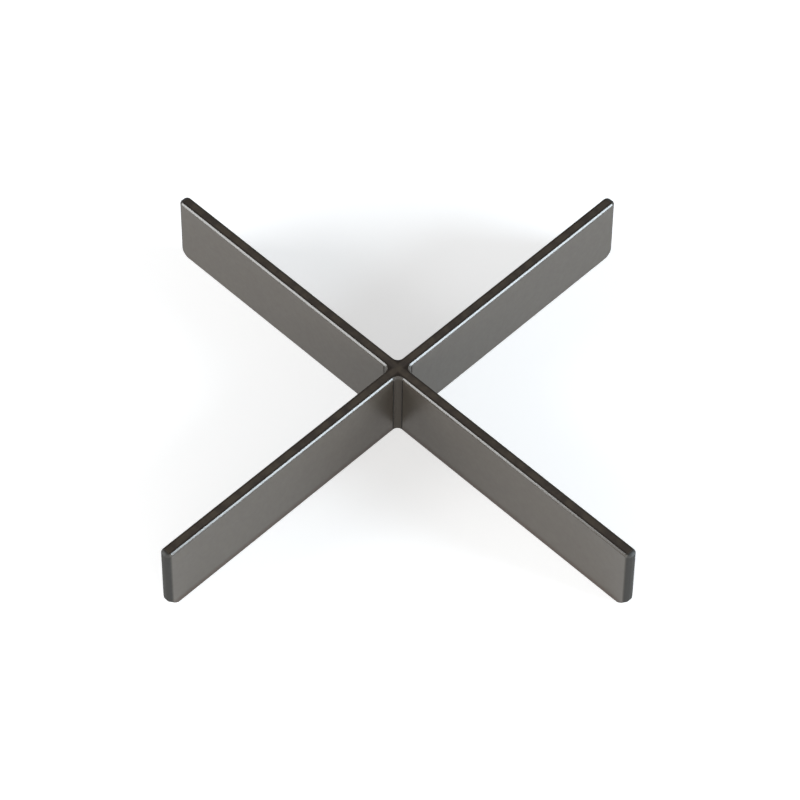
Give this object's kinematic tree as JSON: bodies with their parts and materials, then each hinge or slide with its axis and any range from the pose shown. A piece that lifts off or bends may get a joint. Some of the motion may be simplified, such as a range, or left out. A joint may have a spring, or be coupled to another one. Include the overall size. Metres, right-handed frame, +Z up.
{
  "type": "tile spacer",
  "caption": "Cross-shaped spacer with long thin arms on edge that keeps an even joint between the corners of floor tiles or paving slabs.",
  "frame": {"origin": "middle of the cross, on the plane of the foot that rests on the bed", "axes": "+Z up through the crossing; the arms lie along X and Y"},
  "size_m": [0.1432, 0.1432, 0.0192],
  "materials": {
    "moulding": "dark warm grey, satin to semi-gloss as it comes from the mould"
  },
  "bodies": {
    "root": {"spacer_cross": "moulding"}
  },
  "joints": []
}
